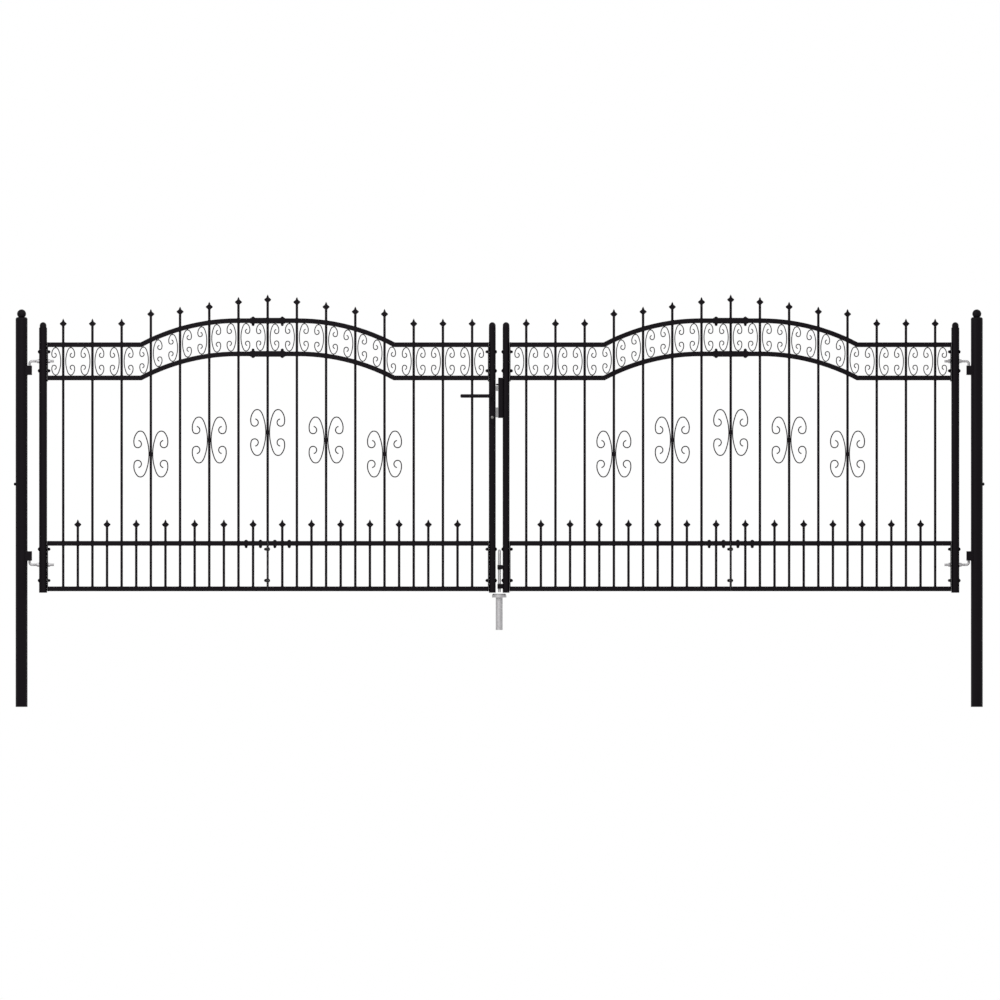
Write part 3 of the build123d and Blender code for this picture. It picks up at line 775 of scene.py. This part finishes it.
def scroll_lines(solids, stock):
    """Mesh lines for the scrolls, each fitted to the box of the solid that it stands for."""
    unit = scroll_half(1, 0)
    unit_reach = max(x for x, _ in unit) - min(x for x, _ in unit)
    unit_lobe = max(z for _, z in unit)
    paths = []
    for points in solids:
        low, high = span(points)
        width = (high.x - low.x - stock) / unit_reach
        back = (high.z - low.z - stock) / 2 - unit_lobe * width
        centre = (low + high) / 2
        upper = scroll_half(width, back)
        side = 1 if mean_x(points) > centre.x else -1
        start_x = (low.x if side > 0 else high.x) + side * stock / 2
        line = [(x, -z) for x, z in reversed(upper[1:])] + upper[1:]
        paths.append([(start_x + side * x, centre.y, centre.z + z) for x, z in line])
    return wires(paths)


class GATE_OT_bolts(bpy.types.Operator):
    """Bolt the panels to the stiles and to each other"""

    bl_idname = "gate.bolts"
    bl_label = "Bolt the Panels"

    def execute(self, context):
        sizes = context.scene.gate_sizes
        for leaf in INWARD:
            heads, caps = stile_bolts(leaf, sizes)
            splice_heads, nuts = splice_bolts(leaf, sizes)
            washer = (sizes.washer_diameter, sizes.washer)
            head = fastener(
                washer, (sizes.head_diameter, 0.0), (sizes.head_diameter, sizes.head_height), "bolt_heads"
            )
            nut = fastener(
                washer,
                (sizes.nut_across, sizes.nut_height),
                (sizes.nut_across * CAP_DOME_SHARE, sizes.nut_dome),
                "cap_nuts",
            )
            rows = (
                ("bolt_heads", heads + splice_heads, "domed_head", "", head),
                ("cap_nuts", caps + nuts, "cap_nut", "cap", nut),
            )
            for name, points, tree_name, kind, inputs in rows:
                tree = tree_named(tree_name, headed_tree, tree_name, kind)
                fit(f"{leaf}_{name}", seats(points), tree, inputs, f"{leaf}_leaf", "black_coat")
        return {"FINISHED"}


def stile_bolts(leaf, sizes):
    """Seats of the bolt heads outside each stile and of the cap nuts inside its end plates."""
    heads, caps = [], []
    for stile in STILES:
        way, outer, inner = stile_sides(leaf, stile, sizes)
        for level in sizes.bolt_levels:
            heads.append(((outer, 0, level), (-way, 0, 0)))
            caps.append(((inner, 0, level), (way, 0, 0)))
    return heads, caps


def splice_bolts(leaf, sizes):
    """Seats of the heads and nuts on the splice sleeves and on the centre plates."""
    heads, nuts = [], []
    centre = middle(f"{leaf}_splice_sleeves").x
    half = sizes.sleeve / 2
    for shift in (-sizes.bar_pitch / 2, sizes.bar_pitch / 2):
        top, second = sizes.top_rail + sizes.arch_rise, sizes.second_rail + sizes.arch_rise
        heads += [((centre + shift, 0, top + half), UP), ((centre + shift, 0, second - half), DOWN)]
        nuts += [((centre + shift, 0, top - half), DOWN), ((centre + shift, 0, second + half), UP)]
    for distance in sizes.sleeve_bolts:
        for shift in (-distance, distance):
            heads.append(((centre + shift, 0, sizes.mid_rail + sizes.rail / 2), UP))
            nuts.append(((centre + shift, 0, sizes.mid_rail - sizes.rail / 2), DOWN))
    _, _, *lower_levels = sizes.bolt_levels
    for level in lower_levels:
        heads.append(((centre + sizes.centre_plate, 0, level), (1, 0, 0)))
        nuts.append(((centre - sizes.centre_plate, 0, level), (-1, 0, 0)))
    return heads, nuts


class GATE_OT_hinge_nuts(bpy.types.Operator):
    """Lock the hinge rods with nuts and cut their threads"""

    bl_idname = "gate.hinge_nuts"
    bl_label = "Lock the Hinge Rods"

    def execute(self, context):
        sizes = context.scene.gate_sizes
        for leaf in INWARD:
            way, outer, inner = stile_sides(leaf, "hinge", sizes)
            low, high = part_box(f"{leaf}_hinge_bolts")
            rod_end = high.x if way > 0 else low.x
            nuts, threads = [], []
            for level in sizes.hinge_levels:
                nuts += [((outer, 0, level), (-way, 0, 0)), ((inner, 0, level), (way, 0, 0))]
                threads += [((inner, 0, level), (way, 0, 0)), ((outer, 0, level), (-way, 0, 0))]
            nut = fastener(
                (sizes.hinge_washer, sizes.washer),
                (sizes.hinge_nut_across, sizes.hinge_nut_height),
                (sizes.rod_diameter * ROD_END_SHARE, sizes.thread_pitch),
                "hinge_nuts",
            )
            tree = tree_named("plain_nut", headed_tree, "plain_nut", "plain")
            fit(f"{leaf}_hinge_nuts", seats(nuts), tree, nut, f"{leaf}_leaf", "zinc")
            thread = {
                "Rod Diameter": sizes.rod_diameter,
                "Length": abs(rod_end - inner) - sizes.thread_pitch,
                "Pitch": sizes.thread_pitch,
            }
            tree = tree_named("screw_thread", thread_tree)
            fit(f"{leaf}_hinge_threads", seats(threads), tree, thread, f"{leaf}_leaf", "zinc")
        return {"FINISHED"}


class GATE_OT_welds(bpy.types.Operator):
    """Weld the bars, rails, scrolls and brackets"""

    bl_idname = "gate.welds"
    bl_label = "Weld the Steelwork"

    def execute(self, context):
        sizes = context.scene.gate_sizes
        tree = tree_named("weld_bead", bead_tree)
        for leaf in INWARD:
            centre = middle(f"{leaf}_splice_sleeves").x
            points = []
            for step in range(-LONG_BARS, LONG_BARS + 1):
                points += long_bar_welds(centre, step, sizes)
            for step in range(-LONG_BARS, LONG_BARS):
                points += short_bar_welds(centre, step + 1 / 2, sizes)
            rows = (
                ("weld_beads", points, sizes.bar, SEEDS["weld_beads"]),
                ("rail_end_welds", rail_end_welds(leaf, sizes), sizes.rail, SEEDS["rail_ends"]),
            )
            for name, places, bar, seed in rows:
                inputs = {"Bar": bar, "Bead": sizes.weld_bead, "Seed": seed}
                fit(f"{leaf}_{name}", seats(places), tree, inputs, f"{leaf}_leaf", "black_coat")
        seam = tree_named("weld_seam", seam_tree)
        inputs = {"Bead": sizes.weld_bead, "Ripple": sizes.weld_ripple, "Seed": SEEDS["seams"]}
        rows = (
            ("posts", "hinge_block_seams", [block_seam(block) for block in hinge_blocks()]),
            ("left_leaf", "left_scroll_seams", scroll_seams("left", sizes)),
            ("right_leaf", "right_scroll_seams", scroll_seams("right", sizes)),
            ("right_leaf", "keep_and_guide_seams", bracket_seams(sizes)),
        )
        for body, name, paths in rows:
            fit(name, wires(paths), seam, inputs, body, "black_coat")
        return {"FINISHED"}


def rail_end_welds(leaf, sizes):
    """Bead seats where the rails meet the end plates."""
    welds = []
    for stile in STILES:
        way, _, inner = stile_sides(leaf, stile, sizes)
        for level in (sizes.top_rail, sizes.second_rail, sizes.mid_rail, sizes.bottom_rail):
            welds.append(((inner, 0, level), (way, 0, 0)))
    return welds


def hinge_blocks():
    """Lower and upper corner of each hinge block, with its post's axis and radius and the way it reaches."""
    found = []
    for leaf, way in INWARD.items():
        post, radius = tube(f"{leaf}_post")
        for points in islands(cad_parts[f"{leaf}_hinge_blocks"].data):
            found.append((*span(points), post, radius, way))
    return found


def block_seam(block):
    """Closed line round a hinge block on the face of its post."""
    low, high, post, radius, way = block
    widest = math.asin(high.y / radius)
    turns = [widest * (2 * step / BLOCK_STEPS - 1) for step in range(BLOCK_STEPS + 1)]
    arc = [(post + way * radius * math.cos(turn), radius * math.sin(turn)) for turn in turns]
    line = [(x, y, high.z) for x, y in arc] + [(x, y, low.z) for x, y in reversed(arc)]
    return [*line, line[0]]


def scroll_seams(leaf, sizes):
    """Short seams on the rails over and under each frieze scroll, and on the bar behind each bar scroll."""
    half = sizes.scroll_depth * SEAM_DEPTH_SHARE
    lines = []
    for points in islands(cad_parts[f"{leaf}_frieze_scrolls"].data):
        for end in (min, max):
            tip = end(points, key=lambda point: point.z)
            lines.append([(tip.x, -half, tip.z), (tip.x, half, tip.z)])
    for points in islands(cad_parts[f"{leaf}_bar_scrolls"].data):
        low, high = span(points)
        centre = (low + high) / 2
        back = high.x if mean_x(points) < centre.x else low.x
        for y in (-half, half):
            lines.append([(back, y, centre.z - 2 * half), (back, y, centre.z + 2 * half)])
    return lines


def bracket_seams(sizes):
    """Upright seams in the grooves between the right meeting stile and its keep and rod guides."""
    lines = []
    for node in ("lock_keep", "rod_guides"):
        for points in islands(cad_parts[node].data):
            low, high = span(points)
            x = high.x + sizes.weld_bead / 2
            short = sizes.rail * SEAM_END_SHARE
            for y in (-sizes.bracket_seam, sizes.bracket_seam):
                lines.append([(x, y, low.z + short), (x, y, high.z - short)])
    return lines


def arch_at(reach, sizes):
    """Lift and slope of an arched rail's middle line at a distance from the leaf's centre."""
    run = max(abs(reach) - sizes.arch_flat, 0)
    foot = math.sqrt(sizes.arch_radius**2 - (sizes.arch_radius - sizes.arch_rise) ** 2)
    if run >= foot:
        return 0, 0
    lift = sizes.arch_rise - sizes.arch_radius + math.sqrt(sizes.arch_radius**2 - run**2)
    return lift, math.copysign(math.asin(run / sizes.arch_radius), reach)


def long_bar_welds(centre, step, sizes):
    """Bead seats over and under each rail that a long bar passes."""
    reach = step * sizes.bar_pitch
    lift, slope = arch_at(reach, sizes)
    half = sizes.rail / 2
    welds = []
    sleeved = step == 0
    for level in (sizes.top_rail, sizes.second_rail):
        gap = (sizes.sleeve / 2 if sleeved else half) / math.cos(slope)
        for side in (1, -1):
            place = (centre + reach, 0, level + lift + side * gap)
            welds.append((place, (side * math.sin(slope), 0, side * math.cos(slope))))
    if sleeved:
        return welds + [((centre, 0, sizes.mid_rail + half), UP)]
    welds += straight_welds(centre + reach, sizes.mid_rail, half)
    return welds + [((centre + reach, 0, sizes.bottom_rail + half), UP)]


def short_bar_welds(centre, step, sizes):
    """Bead seats at the two lower rails of a short bar."""
    x = centre + step * sizes.bar_pitch
    half = sizes.rail / 2
    return straight_welds(x, sizes.mid_rail, half) + [((x, 0, sizes.bottom_rail + half), UP)]


def straight_welds(x, level, half):
    """Bead seats over and under a level rail."""
    return [((x, 0, level + half), UP), ((x, 0, level - half), DOWN)]


class GATE_OT_plugs(bpy.types.Operator):
    """Set the nuts on the posts' outer sides and plug the stiles' open ends"""

    bl_idname = "gate.plugs"
    bl_label = "Plug the Tubes"

    def execute(self, context):
        sizes = context.scene.gate_sizes
        points = []
        for leaf, way in INWARD.items():
            low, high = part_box(f"{leaf}_post")
            outer = low.x if way > 0 else high.x
            points.append(((outer, 0, sizes.post_nut_level), (-way, 0, 0)))
        inputs = fastener(
            (sizes.washer_diameter * SIDE_WASHER_SHARE, sizes.washer),
            (sizes.nut_across, sizes.nut_height * SIDE_NUT_SHARE),
            (sizes.nut_across * SIDE_DOME_SHARE, sizes.nut_dome * SIDE_NUT_SHARE),
            "side_nuts",
        )
        tree = tree_named("cap_nut", headed_tree, "cap_nut", "cap")
        fit("post_side_nuts", seats(points), tree, inputs, "posts", "black_coat")
        for leaf in INWARD:
            for stile in STILES:
                plug = tube_plug(f"{leaf}_{stile}_plug", f"{leaf}_{stile}_stile", sizes)
                settle(plug, f"{leaf}_leaf")
        return {"FINISHED"}


def tube_plug(name, node, sizes):
    """Shallow moulded plug in the open lower end of a stile."""
    centre, radius = tube(node)
    end, root, rim = (radius * share for share in PLUG_SHARES)
    inner, upper = PLUG_EDGE_SHARES
    drop, shank = sizes.plug_drop, sizes.plug_shank
    outline = (
        (0, shank), (end, shank), (root, 0), (rim, 0), (rim, -drop * upper), (rim * inner, -drop), (0, -drop),
    )
    return lathe(name, outline, (centre, middle(node).y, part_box(node)[0].z), "black_plastic")


def lathe(name, outline, place, slot):
    """Closed turned mesh from points of radius and height, about a vertical axis through a place."""
    work = bmesh.new()
    verts = [work.verts.new((radius, 0, height)) for radius, height in outline]
    edges = [work.edges.new(pair) for pair in zip(verts, verts[1:])]
    bmesh.ops.spin(
        work, geom=verts + edges, cent=(0, 0, 0), axis=(0, 0, 1), angle=math.tau, steps=LATHE_SIDES,
        use_duplicate=False,
    )
    bmesh.ops.translate(work, verts=work.verts, vec=place)
    return solid(name, work, slot)


class GATE_OT_lock_trim(bpy.types.Operator):
    """Fit the key plugs, the cylinder's seat and the keep's lip over the latch"""

    bl_idname = "gate.lock_trim"
    bl_label = "Trim the Lock"

    def execute(self, context):
        sizes = context.scene.gate_sizes
        low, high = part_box("lock_plug")
        radius = (high.x - low.x) / 2 * KEY_PLUG_SHARE
        centre = (low + high) / 2
        for name, face, y in (("front_key_plug", -1, low.y), ("rear_key_plug", 1, high.y)):
            plug = key_plug(name, radius, Vector((centre.x, y, centre.z)), face, sizes)
            settle(plug, "left_leaf")
        settle(keep_lip(sizes), "right_leaf")
        settle(cylinder_seat(sizes), "left_leaf")
        return {"FINISHED"}


def bevelled_block(name, low, high, edge_round):
    """Coated block between two corners, with rounded edges."""
    work = bmesh.new()
    bmesh.ops.create_cube(work, size=1)
    bmesh.ops.scale(work, verts=work.verts, vec=high - low)
    bmesh.ops.translate(work, verts=work.verts, vec=(low + high) / 2)
    bmesh.ops.bevel(
        work, geom=work.edges, offset=edge_round, segments=EDGE_STEPS, profile=0.5, affect="EDGES"
    )
    return solid(name, work, "black_coat")


def keep_lip(sizes):
    """Small plate on the keep that covers the gap over the latch."""
    keep_low, keep_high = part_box("lock_keep")
    stile_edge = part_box("left_meeting_stile")[1].x
    low = Vector((stile_edge + sizes.lip_gap, keep_low.y, sizes.lip_levels[0]))
    high = Vector((keep_low.x + sizes.edge_round, keep_high.y, sizes.lip_levels[1]))
    return bevelled_block("keep_lip", low, high, sizes.edge_round)


def cylinder_seat(sizes):
    """Block inside the lock case that closes the slit round the cylinder."""
    low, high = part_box("lock_cylinder")
    rim = sizes.seat_rim
    low = Vector((low.x - rim, -sizes.seat_depth / 2, low.z - rim))
    high = Vector((high.x + rim, sizes.seat_depth / 2, high.z + rim))
    return bevelled_block("cylinder_seat", low, high, sizes.edge_round)


def key_plug(name, radius, place, face, sizes):
    """Round plug with a stepped key slot, standing just proud of the cylinder."""
    flat = bpy.data.curves.new(name, "CURVE")
    flat.dimensions, flat.fill_mode = "2D", "BOTH"
    flat.extrude, flat.bevel_depth, flat.bevel_resolution = sizes.key_plug_proud, sizes.key_plug_bevel, 1
    turns = [step * math.tau / LATHE_SIDES for step in range(LATHE_SIDES)]
    rim = [(math.cos(turn), math.sin(turn)) for turn in turns]
    for outline in (rim, KEY_SLOT_SHARES):
        spline = flat.splines.new("POLY")
        spline.points.add(len(outline) - 1)
        spline.use_cyclic_u = True
        for point, (x, z) in zip(spline.points, outline):
            point.co = (x * radius, z * radius, 0, 1)
    draft = bpy.data.objects.new(name, flat)
    mesh = bpy.data.meshes.new_from_object(draft)
    bpy.data.objects.remove(draft)
    mesh.transform(Matrix.Translation(place) @ Matrix.Rotation(math.radians(-90 * face), 4, "X"))
    return dressed(name, mesh, "nickel")


class GATE_OT_stage(bpy.types.Operator):
    """Set up the floor, the light and the camera"""

    bl_idname = "gate.stage"
    bl_label = "Set the Stage"

    def execute(self, context):
        stage = context.scene.gate_stage
        context.scene.view_settings.view_transform = "Standard"
        studio_floor(stage)
        studio_light(stage)
        square_camera(context.scene, stage)
        return {"FINISHED"}


def studio_floor(stage):
    """Plain pale floor under the posts' feet."""
    reach = stage.floor_reach
    centre = stage.view_centre
    corners = [(centre[0] + x * reach, y * reach, 0) for x, y in ((-1, -1), (1, -1), (1, 1), (-1, 1))]
    mesh = bpy.data.meshes.new("studio_floor")
    mesh.from_pydata(corners, [], [(0, 1, 2, 3)])
    material, _, shader = new_finish("pale_floor")
    shader.inputs["Base Color"].default_value = (*stage.floor_colour, 1)
    shader.inputs["Roughness"].default_value = 0.9
    shader.inputs["Specular IOR Level"].default_value = 0.1
    mesh.materials.append(material)
    linked("studio_floor", mesh)


def studio_light(stage):
    """Even white surroundings, with a large soft lamp in front and a second one behind."""
    world = bpy.data.worlds.new("studio")
    bpy.context.scene.world = world
    world.use_nodes = True
    tree = world.node_tree
    tree.nodes.clear()
    path = put(tree, "ShaderNodeLightPath").outputs
    seen = calc(tree, "MAXIMUM", path["Is Camera Ray"], path["Is Glossy Ray"])
    seen = calc(tree, "MAXIMUM", seen, path["Is Transmission Ray"])
    strength = put(tree, "ShaderNodeMapRange", {"Value": seen, "To Min": stage.sky_light, "To Max": 1.0})
    sky = put(tree, "ShaderNodeBackground", {"Color": (1, 1, 1, 1), "Strength": strength.outputs[0]})
    out = put(tree, "ShaderNodeOutputWorld")
    tree.links.new(sky.outputs[0], out.inputs["Surface"])
    centre = Vector(stage.view_centre)
    lamps = (
        ("key_lamp", stage.key_light, Vector(stage.key_shift), stage.key_size),
        ("fill_lamp", stage.fill_light, Vector(stage.fill_shift), stage.fill_size),
    )
    for name, power, shift, size in lamps:
        lamp = bpy.data.lights.new(name, "AREA")
        lamp.energy, lamp.size = power, size
        obj = linked(name, lamp)
        obj.location = centre + shift
        obj.rotation_euler = (-shift).to_track_quat("-Z", "Y").to_euler()


def square_camera(scene, stage):
    """Camera square on to the gate, without perspective."""
    lens = bpy.data.cameras.new("square_view")
    lens.type = "ORTHO"
    lens.ortho_scale = stage.view_width
    camera = linked("square_view", lens)
    camera.location = Vector(stage.view_centre) - Vector((0, stage.view_distance, 0))
    camera.rotation_euler = (math.radians(90), 0, 0)
    scene.camera = camera


OPERATORS = (
    GATE_OT_finishes, GATE_OT_scrolls, GATE_OT_bolts, GATE_OT_hinge_nuts, GATE_OT_welds, GATE_OT_plugs,
    GATE_OT_lock_trim, GATE_OT_stage,
)


class GATE_PT_dressing(bpy.types.Panel):
    """Lists the steps that dress the gate"""

    bl_idname = "GATE_PT_dressing"
    bl_label = "Double Gate Dressing"
    bl_space_type = "VIEW_3D"
    bl_region_type = "UI"
    bl_category = "Gate"

    def draw(self, context):
        for operator in OPERATORS:
            self.layout.operator(operator.bl_idname)
        for group in (context.scene.gate_finish, context.scene.gate_sizes, context.scene.gate_stage):
            box = self.layout.box()
            for name in group.__annotations__:
                box.prop(group, name)


CLASSES = (GateFinish, GateSizes, GateStage, *OPERATORS, GATE_PT_dressing)


def register():
    """Register the classes and hang their settings on the scene."""
    for cls in CLASSES:
        bpy.utils.register_class(cls)
    bpy.types.Scene.gate_finish = bpy.props.PointerProperty(type=GateFinish)
    bpy.types.Scene.gate_sizes = bpy.props.PointerProperty(type=GateSizes)
    bpy.types.Scene.gate_stage = bpy.props.PointerProperty(type=GateStage)


def unregister():
    """Take the settings off the scene and unregister the classes."""
    del bpy.types.Scene.gate_stage
    del bpy.types.Scene.gate_sizes
    del bpy.types.Scene.gate_finish
    for cls in reversed(CLASSES):
        bpy.utils.unregister_class(cls)


def main():
    """Dress the gate step by step."""
    register()
    for operator in OPERATORS:
        family, step = operator.bl_idname.split(".")
        getattr(getattr(bpy.ops, family), step)()


if __name__ == "__main__":
    main()
